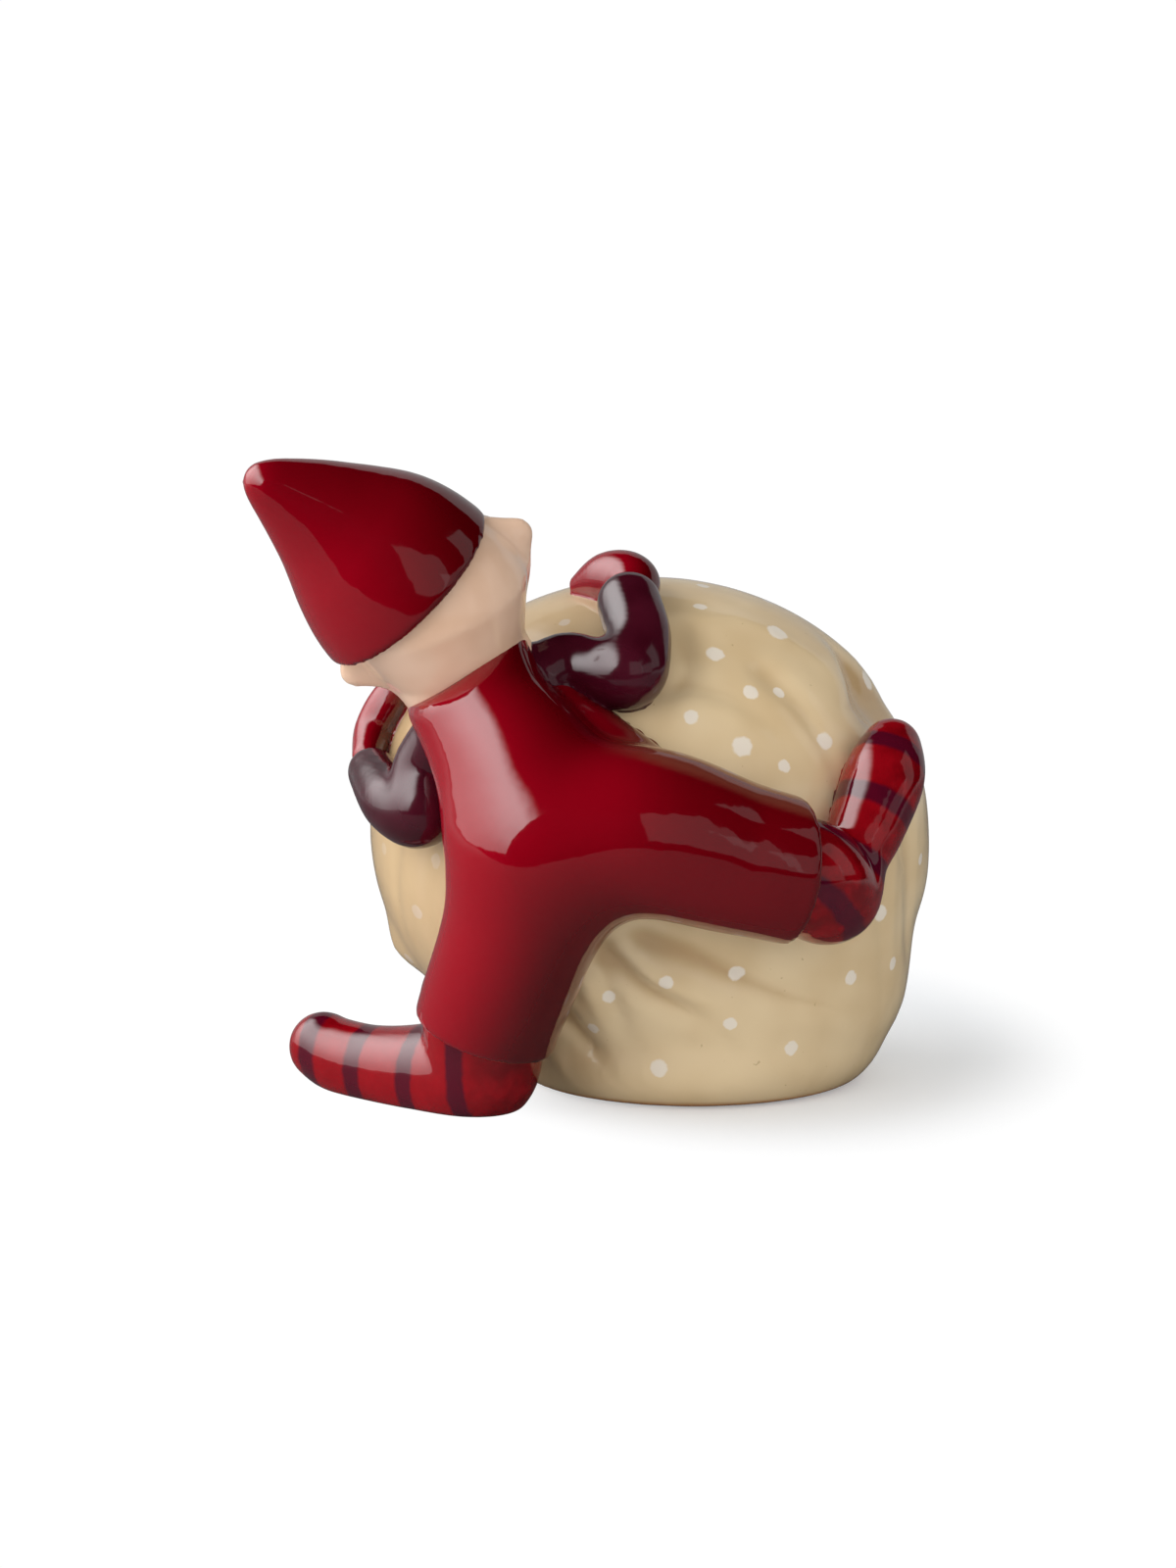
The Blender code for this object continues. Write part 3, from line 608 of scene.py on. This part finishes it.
BOOTS = (
    ("boot_standing", boot_standing_form, STANDING_BOOT,
     rings(ANKLE, TOE_WAY, (-0.0011, 0.0117, 0.0250, 0.0363))),
    ("boot_raised", boot_raised_form, RAISED_BOOT,
     rings(HEEL, HEEL_WAY, (-0.0066, 0.0066, 0.0186, 0.0306))),
)
for boot, boot_form, stations, from_ring in BOOTS:
    piece = cast(boot + "_glazed", sparse(boot_form), boot_form, stations, boot_glaze,
                 cell=0.0008, marks={"ring": from_ring, "painted_light": painted_light})
    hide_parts(boot)
    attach(piece, "root")


# THE HEAD
# A round head thrown back, cast in one with the figurine, in thin flesh-coloured glaze. It has
# leaf-shaped ears, a button nose, and a plain face painted with two dots.
HEAD_RADIUS = 0.0184
NECK_RADIUS = 0.0132
NECK_ROOT = 0.0060
NOSE_RADIUS = 0.0030
EAR_LENGTH = 0.0068
EAR_FLATNESS = 1.5
EAR_EDGE = 0.0010
COLLAR = on_sack(-41, 36, NECK_RADIUS * 1.136)
COLLAR_WAY = toward(-80, 54)
HEAD_WAY = toward(-69, 47.7)
HEAD_MIDDLE = COLLAR + toward(-54, 64) * HEAD_RADIUS * 0.64
HEAD_RIGHT = Vector((0, 1, 0)).cross(HEAD_WAY).normalized()
FACE_WAY = HEAD_WAY.cross(HEAD_RIGHT).normalized()


def at_head(right, face, up):
    """A point measured from the middle of the head, in shares of its radius."""
    return HEAD_MIDDLE + (HEAD_RIGHT * right + FACE_WAY * face + HEAD_WAY * up) * HEAD_RADIUS


def turned(place, centre, axes):
    """The place measured from a centre along three axes of its own."""
    offset = place.vector("SUBTRACT", centre)
    local = offset.measure("DOT_PRODUCT", axes[0]).vector("MULTIPLY", Vector((1, 0, 0)))
    local = offset.measure("DOT_PRODUCT", axes[1]).vector("MULTIPLY_ADD", Vector((0, 1, 0)), local)
    return offset.measure("DOT_PRODUCT", axes[2]).vector("MULTIPLY_ADD", UP, local)


def ear(place, side):
    """An upright leaf with a hollow in the front of it."""
    axes = (HEAD_RIGHT * side, FACE_WAY, HEAD_WAY)
    middle = at_head(side * 0.92 + 0.02, 0.12, -0.04)
    flat = turned(place, middle, axes).vector("MULTIPLY", Vector((1, EAR_FLATNESS, 1)))
    lobes = ((0.0, 0.45, 0.50), (0.42, 0.10, 0.50), (-0.25, -0.62, 0.34))
    leaf = chain(flat, [(Vector((out, 0, up)) * EAR_LENGTH, size * EAR_LENGTH) for out, up, size in lobes])
    leaf = leaf.number("DIVIDE", EAR_FLATNESS)
    hollow = egg(turned(place, middle + FACE_WAY * EAR_LENGTH * 0.5, axes), Vector(),
                 EAR_LENGTH * Vector((0.62, 0.34, 0.48)))
    return leaf.keep(hollow.number("MULTIPLY", -1.0), EAR_EDGE)


@form
def head_form(place):
    neck = [(COLLAR - COLLAR_WAY * NECK_ROOT, NECK_RADIUS), (COLLAR, NECK_RADIUS)]
    head = chain(place, neck + [(HEAD_MIDDLE, HEAD_RADIUS)])
    jaw = limb(place, (at_head(0, 0.33, -0.27), HEAD_RADIUS * 0.70),
               (at_head(0, 0.22, 0), HEAD_RADIUS * 0.76))
    nose = limb(place, (at_head(0, 1.04, 0), NOSE_RADIUS), (at_head(0, 1.0, 0), NOSE_RADIUS))
    head = head.join(jaw, HEAD_RADIUS * 0.33).join(nose, NOSE_RADIUS * 0.67)
    for side in (-1, 1):
        cheek = at_head(side * 0.52, 0.41, -0.08)
        full = limb(place, (cheek, HEAD_RADIUS * 0.54),
                    (cheek + FACE_WAY * HEAD_RADIUS * 0.05, HEAD_RADIUS * 0.54))
        head = head.join(full, HEAD_RADIUS * 0.3).join(ear(place, side), HEAD_RADIUS * 0.2)
    return head.cut(sack_form(place), -BURIED)


def eye_distance(place):
    """Distance to the nearer of the two painted eyes."""
    left, right = (place.measure("DISTANCE", at_head(side * 0.36, 0.95, 0.20)) for side in (-1, 1))
    return left.join(right)


skin, skin_shader = glaze("skin_glaze", roughness=0.12)
skin_tree = skin.node_tree
cloudy = spots(skin_tree, 0.015).eased(0.3, 0.7)
skin_body = mixed(skin_tree, cloudy, shade(214, 176, 148), shade(226, 192, 166))
eyes = mark(skin_tree, "eye").eased(0.0019, 0.0016)
skin_body = mixed(skin_tree, eyes, skin_body, shade(38, 26, 22))
finish_glaze(skin_shader, skin_body, ripple=0.0002)
head = cast("head_glazed", head_form, head_form,
            [(HEAD_MIDDLE, HEAD_RADIUS + EAR_LENGTH), (COLLAR, NECK_RADIUS)], skin,
            cell=0.0008, marks={"eye": eye_distance})
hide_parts("head")
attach(head, "root")


# THE OVERALLS
# One soft body for the trunk and both legs, like stuffed cloth: the standing leg runs down to
# its cuff over the boot, the other is thrown out along the sack. Dipped in a deep red glaze.
CHEST_RADIUS = 0.0138
WAIST_RADIUS = 0.0160
HIP_RADIUS = 0.0164
THIGH_RADIUS = 0.0166
HEM = 0.0020
TRUNK = rounded(
    [(COLLAR + COLLAR_WAY * NECK_RADIUS * 0.34, NECK_RADIUS * 0.97), (COLLAR, NECK_RADIUS * 1.045)]
    + seated(CHEST_RADIUS, [(-32, 27, 1.0, 0.87)])
    + seated(WAIST_RADIUS, [(-23, 16, 1.0, 0.656)])
    + seated(HIP_RADIUS, [(-19, 2, 0.93, 0.68)])
    + seated(THIGH_RADIUS, [(-25, -15, 0.90, 0.69)])
    + seated(CUFF_RADIUS, [(-33, -29, 1.0, 0.73)])
    + [(ANKLE + UP * CUFF_RADIUS * 0.21, CUFF_RADIUS)])
RAISED_LEG = rounded(
    seated(HIP_RADIUS, [(-20, 4, 1.0, 0.64)])
    + seated(THIGH_RADIUS, [(-3, 8, 1.0, 0.63), (14, 3, 0.90, 0.62)])
    + seated(CUFF_RADIUS, [(24, 0, 1.0, 0.66), (30, -2, 1.0, 0.66)]))
PLEAT_RADIUS = 0.0076
PLEAT = rounded(seated(PLEAT_RADIUS, [
    (-27, 38, 1.0, 0.3), (-19, 30, 1.0, 0.3), (-11, 25, 1.0, 0.3), (-3, 19, 1.0, 0.3), (5, 13, 0.9, 0.3)]))


@form
def overalls_form(place, spare=1):
    body = chain(place, TRUNK[::spare]).join(chain(place, RAISED_LEG[::spare]), HIP_RADIUS * 0.73)
    body = body.join(chain(place, PLEAT[::spare]), PLEAT_RADIUS * 0.4)
    body = body.keep(beyond(place, STANDING_CUFF, STANDING_CUFF_WAY), HEM)
    body = body.keep(beyond(place, RAISED_CUFF, RAISED_CUFF_WAY), HEM)
    body = body.keep(beyond(place, COLLAR, COLLAR_WAY), HEM * 2)
    return set_on(body, place, [sack_form], fillet=0.0040, reach=0.0024, thinned=0.00045)


def faces_sack(place):
    """The faces that turn towards the sack: up and to the right on its right side, straight down, and to
    the right.
    """
    right = place.measure("DOT_PRODUCT", Vector((1, 0, 0))).eased(-0.002, 0.012)
    above = facing(place, toward(90, 68)).eased(0.82, 0.92).number("MULTIPLY", right)
    below = facing(place, toward(0, -90)).eased(0.82, 0.94)
    inner = facing(place, toward(90, -10)).eased(0.86, 0.97)
    return above.keep(below).keep(inner)


red, red_shader = glaze("red_glaze", roughness=0.06)
red_tree = red.node_tree
cloudy = spots(red_tree, 0.025).eased(0.3, 0.7)
red_body = mixed(red_tree, cloudy, shade(72, 0, 4), shade(82, 0, 6))
# Painted light: the red is painted lighter on the side that faces the lamp on the left.
red_body = mixed(red_tree, mark(red_tree, "painted_light"), red_body, shade(144, 2, 22))
# The red is made browner on the faces that turn towards the sack.
sack_side_brown = mark(red_tree, "faces_sack").number("MULTIPLY", 0.7)
red_body = mixed(red_tree, sack_side_brown, red_body, shade(116, 58, 44))
finish_glaze(red_shader, red_body, ripple=0.0003)
overalls = cast("overalls_glazed", sparse(overalls_form), overalls_form, TRUNK + RAISED_LEG, red,
                cell=0.0009, marks={"painted_light": painted_light, "faces_sack": faces_sack})
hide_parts("overalls")
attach(overalls, "root")


# THE MITTENS
# Two small mittens that lie flat on the sack and are cast in one with it. They are dipped in
# the same red glaze as the overalls.
MITTEN_RADIUS = 0.0054
RIGHT_MITTEN = rounded(seated(MITTEN_RADIUS, [
    (-8, 60, 0.70, 1.05), (-11, 71, 1.055, 0.60), (-33, 75.5, 1.0, 0.50), (-62, 74, 0.43, 0.52)]))
LEFT_MITTEN = rounded(seated(MITTEN_RADIUS, [
    (-77, 17, 0.60, 1.25), (-85, 22, 0.80, 0.75), (-86, 29, 0.80, 0.72), (-87, 35, 0.57, 0.8)]))


@form
def mitten_right_form(place, spare=1):
    return set_on(chain(place, RIGHT_MITTEN[::spare]), place, [sack_form])


@form
def mitten_left_form(place, spare=1):
    return set_on(chain(place, LEFT_MITTEN[::spare]), place, [sack_form])


# The mittens' red carries the same painted light on the side that faces the lamp.
for side, mitten_form, stations in (("right", mitten_right_form, RIGHT_MITTEN),
                                    ("left", mitten_left_form, LEFT_MITTEN)):
    mitten = cast("mitten_glazed_" + side, sparse(mitten_form), mitten_form, stations, red,
                  cell=0.0006, marks={"painted_light": painted_light})
    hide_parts("mitten_" + side)
    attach(mitten, "root")


# THE SLEEVES
# Two round sleeves bent at the elbow, from the shoulder of the overalls to the mittens, cast in
# one with the figurine. Their plum glaze is thick and almost black.
SLEEVE_RADIUS = 0.0066
RIGHT_ELBOW = 3              # the station that the crook of the elbow lies at
LEFT_ELBOW = 2
RIGHT_SLEEVE = rounded(seated(SLEEVE_RADIUS, [
    (-30, 34, 0.91, 1.5), (-22, 42, 0.92, 0.98), (-14, 41.5, 0.955, 0.79), (-6, 41.5, 1.075, 0.70),
    (-4, 50, 1.0, 0.71), (-8.5, 61, 0.97, 0.70)]))
LEFT_SLEEVE = rounded(seated(SLEEVE_RADIUS, [
    (-42, 26, 0.91, 1.5), (-48, 18, 0.97, 0.94), (-47.5, 9.5, 1.075, 0.80), (-55.5, 10, 1.0, 0.83),
    (-70.5, 14.5, 0.76, 0.80)]))


def bent(place, curve, elbow, spare):
    """An arm with one station in so many, whose skin fills the crook of the elbow."""
    stations, crook = curve[::spare], elbow * CURVE_STEPS // spare
    return chain(place, stations[:crook + 1]).join(chain(place, stations[crook:]), SLEEVE_RADIUS * 0.5)


@form
def sleeve_right_form(place, spare=1):
    arm = bent(place, RIGHT_SLEEVE, RIGHT_ELBOW, spare)
    return set_on(arm, place, [sack_form, sparse(overalls_form), head_form])


@form
def sleeve_left_form(place, spare=1):
    arm = bent(place, LEFT_SLEEVE, LEFT_ELBOW, spare)
    return set_on(arm, place, [sack_form, sparse(overalls_form), head_form])


plum, plum_shader = glaze("plum_glaze", roughness=0.13)
plum_tree = plum.node_tree
cloudy = spots(plum_tree, 0.012).eased(0.3, 0.7)
plum_body = mixed(plum_tree, cloudy, shade(54, 4, 18), shade(68, 12, 28))
finish_glaze(plum_shader, plum_body, ripple=0.0003)
for side, sleeve_form, stations in (("right", sleeve_right_form, RIGHT_SLEEVE),
                                    ("left", sleeve_left_form, LEFT_SLEEVE)):
    sleeve = cast("sleeve_glazed_" + side, sparse(sleeve_form), sleeve_form, stations, plum, cell=0.0008)
    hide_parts("sleeve_" + side)
    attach(sleeve, "root")


# THE HAT
# A pointed hat pulled down to the ears, its tip bent over a little, cast in one with the
# figurine. It is in the same deep red glaze, with painted light on the side that faces the lamp.
HAT_LENGTH = 0.0348
HAT_THICKNESS = 0.0015
HAT_LEAN = -0.13
BRIM_RADIUS = HEAD_RADIUS + HAT_THICKNESS
HAT_WAY = toward(-68.5, 44)
HAT_DROOP = HAT_WAY.cross(Vector((0, 1, 0))).normalized()
BRIM = at_head(0, 0, 0) + (HAT_WAY * 0.326 + HAT_DROOP * 0.022) * HEAD_RADIUS
HAT = rounded([
    (BRIM + (HAT_WAY * up + HAT_DROOP * droop + Vector((0, HAT_LEAN * up * up, 0))) * HAT_LENGTH,
     BRIM_RADIUS * share)
    for up, droop, share in ((-0.20, 0.017, 1.0), (0.0, 0.017, 1.0), (0.16, 0.012, 0.930),
                             (0.32, 0.022, 0.800), (0.48, 0.038, 0.662), (0.65, 0.062, 0.522),
                             (0.81, 0.092, 0.386), (0.94, 0.122, 0.268), (1.0, 0.138, 0.200))
])


@form
def hat_form(place, spare=1):
    hat = chain(place, HAT[::spare]).keep(beyond(place, BRIM, -HAT_WAY), HAT_THICKNESS)
    return hat.cut(head_form(place), -BURIED)


hat = cast("hat_glazed", sparse(hat_form), hat_form, HAT, red, cell=0.0008, marks={"painted_light": painted_light})
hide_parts("hat")
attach(hat, "root")


# THE STUDIO
# White paper that sweeps up behind the figurine, and a large soft box on its left, in two parts:
# what the glaze mirrors and what it is lit by. A card and two dim walls on the right show in the
# glaze, a fill light softens the shadows, and the room is white to the lens and dark in the glaze.
SHADE_MIDDLE = Vector((0.035, 0.045, 0))
SHADE_STRETCH = Vector((1, 0.6, 1))
SHADE_START = 0.038
SHADE_END = 0.070
SHADE_GLOW = 0.29            # the paper's own white in the shade
OPEN_GLOW = 0.73             # and what is added to it in the open


def paper(name):
    """White to the lens, while its lit surface keeps the shadow; greyer where the glaze shows it."""
    material = bpy.data.materials.new(name)
    material.use_nodes = True
    tree = material.node_tree
    shader = tree.nodes["Principled BSDF"]
    shader.inputs["Base Color"].default_value = (0.73, 0.75, 0.77, 1.0)
    shader.inputs["Roughness"].default_value = 0.9
    shader.inputs["Specular IOR Level"].default_value = 0.1
    rays = tree.nodes.new("ShaderNodeLightPath").outputs
    place = Value(tree.nodes.new("ShaderNodeTexCoord").outputs["Object"])

    # The lens sees the paper's own white, which is lower in the shade behind the figurine
    from_shade = place.vector("SUBTRACT", SHADE_MIDDLE).vector("MULTIPLY", SHADE_STRETCH)
    away = from_shade.measure("LENGTH").eased(SHADE_START, SHADE_END)
    seen = Value(rays["Is Camera Ray"]).number("MAXIMUM", Value(rays["Is Transmission Ray"]))
    seen = seen.number("MULTIPLY", away.number("MULTIPLY_ADD", OPEN_GLOW, SHADE_GLOW))

    # The glaze mirrors a little of that white where the paper is far off
    far = place.measure("LENGTH").eased(0.35, 0.90)
    mirrored = Value(rays["Is Glossy Ray"]).number("MULTIPLY", far.number("MULTIPLY", 0.25))
    seen = seen.number("MAXIMUM", mirrored)
    white = tree.nodes.new("ShaderNodeEmission")
    tree.links.new(seen.socket, white.inputs["Strength"])

    # The lit surface is dark to the lens in the open, and most of it is dark to the glaze
    kept = tree.nodes.new("ShaderNodeMixShader")
    dark = tree.nodes.new("ShaderNodeBsdfTransparent")
    hidden = away.number("MULTIPLY", Value(rays["Is Camera Ray"]))
    hidden = hidden.number("MAXIMUM", Value(rays["Is Glossy Ray"]).number("MULTIPLY", 0.8))
    tree.links.new(hidden.socket, kept.inputs[0])
    tree.links.new(shader.outputs[0], kept.inputs[1])
    dark.inputs["Color"].default_value = (0.0, 0.0, 0.0, 1.0)
    tree.links.new(dark.outputs[0], kept.inputs[2])
    total = tree.nodes.new("ShaderNodeAddShader")
    tree.links.new(kept.outputs[0], total.inputs[0])
    tree.links.new(white.outputs[0], total.inputs[1])
    tree.links.new(total.outputs[0], tree.nodes["Material Output"].inputs["Surface"])
    return material


SWEEP_FRONT = -0.30
SWEEP_BEND = 0.90
SWEEP_RADIUS = 0.25
SWEEP_TOP = 1.10
SWEEP_STEPS = 12
SWEEP_SIDE = 1.6
PAPER_GAP = 0.0001           # between the paper and what stands on it

# The paper's line from its front edge to its top, each point a depth and a height
SWEEP = [(SWEEP_FRONT, 0.0), (SWEEP_BEND, 0.0)]
for step in range(1, SWEEP_STEPS + 1):
    angle = step * math.pi / (2 * SWEEP_STEPS)
    SWEEP.append((SWEEP_BEND + SWEEP_RADIUS * math.sin(angle),
                  SWEEP_RADIUS - SWEEP_RADIUS * math.cos(angle)))
SWEEP.append((SWEEP_BEND + SWEEP_RADIUS, SWEEP_TOP))
sweep_mesh = bpy.data.meshes.new("paper_sweep")
sweep_mesh.from_pydata([(side * SWEEP_SIDE, y, z - PAPER_GAP) for y, z in SWEEP for side in (-1, 1)], [],
                       [(2 * i, 2 * i + 1, 2 * i + 3, 2 * i + 2) for i in range(len(SWEEP) - 1)])
sweep = bpy.data.objects.new("paper_sweep", sweep_mesh)
bpy.context.scene.collection.objects.link(sweep)
sweep_mesh.materials.append(paper("white_paper"))

world = bpy.data.worlds.new("room")
bpy.context.scene.world = world
world.use_nodes = True
room = world.node_tree.nodes["Background"]
rays = world.node_tree.nodes.new("ShaderNodeLightPath").outputs
bounced = Value(rays["Is Diffuse Ray"]).number("MULTIPLY", 0.45)
lit = Value(rays["Is Camera Ray"]).number("MULTIPLY_ADD", 1.0, bounced)
world.node_tree.links.new(lit.socket, room.inputs["Strength"])
room.inputs["Color"].default_value = (1.0, 1.0, 1.0, 1.0)


def soft_box(name, longitude, latitude, distance, width, height, radiance):
    """A lamp with a white cloth front, aimed at the figurine; directions in degrees, sizes in metres."""
    lamp = bpy.data.lights.new(name, "AREA")
    lamp.shape = "RECTANGLE"
    lamp.size = width
    lamp.size_y = height
    lamp.energy = radiance * math.pi * width * height
    holder = bpy.data.objects.new(name, lamp)
    aim = Vector((0, 0, 0.05))
    holder.location = aim + toward(longitude, latitude) * distance
    holder.rotation_euler = (aim - holder.location).to_track_quat("-Z", "Y").to_euler()
    bpy.context.scene.collection.objects.link(holder)
    return holder


def fade(lamp, soft_end):
    """Fades a lamp's front towards its top, its foot and its far end, and at its near top corner."""
    lamp.use_nodes = True
    front = lamp.node_tree
    spread = front.nodes.new("ShaderNodeSeparateXYZ")
    front.links.new(front.nodes.new("ShaderNodeNewGeometry").outputs["Parametric"], spread.inputs[0])
    near, tall = Value(spread.outputs[0]), Value(spread.outputs[1])
    strength = tall.eased(1.0, soft_end).number("MULTIPLY", tall.eased(0.0, 0.6, 0.35, 1.0))
    strength = strength.number("MULTIPLY", near.eased(0.0, 0.4))
    strength = strength.number("MULTIPLY", near.number("ADD", tall).eased(1.75, 1.40))
    front.links.new(strength.socket, front.nodes["Emission"].inputs["Strength"])


left_box = soft_box("left_box", -84, 36, 0.85, 2.40, 1.30, 4.4)
left_box.visible_diffuse = False
fade(left_box.data, 0.74)
left_light = soft_box("left_light", -80, 26, 0.85, 2.20, 1.10, 3.2)
left_light.visible_glossy = False
fade(left_light.data, 0.86)
soft_box("card", 27, 15, 1.0, 0.62, 0.64, 0.30)
soft_box("right_wall", 86, 26, 1.3, 0.55, 1.0, 0.35)
soft_box("low_wall", 58, 9, 1.3, 0.80, 0.5, 0.30)
fill = soft_box("fill", 20, 14, 1.1, 1.4, 0.9, 1.0)
fill.visible_glossy = False

LENS_DISTANCE = 0.855
LENS_LIFT = 8.6
AIM = Vector((-0.0028, 0, 0.0608))
lens = bpy.data.cameras.new("lens")
lens.lens = 100.0
lens.sensor_width = 36.0
camera = bpy.data.objects.new("camera", lens)
camera.location = AIM + toward(0, LENS_LIFT) * LENS_DISTANCE
camera.rotation_euler = (AIM - camera.location).to_track_quat("-Z", "Y").to_euler()
bpy.context.scene.collection.objects.link(camera)
bpy.context.scene.camera = camera
bpy.context.scene.view_settings.view_transform = "Standard"
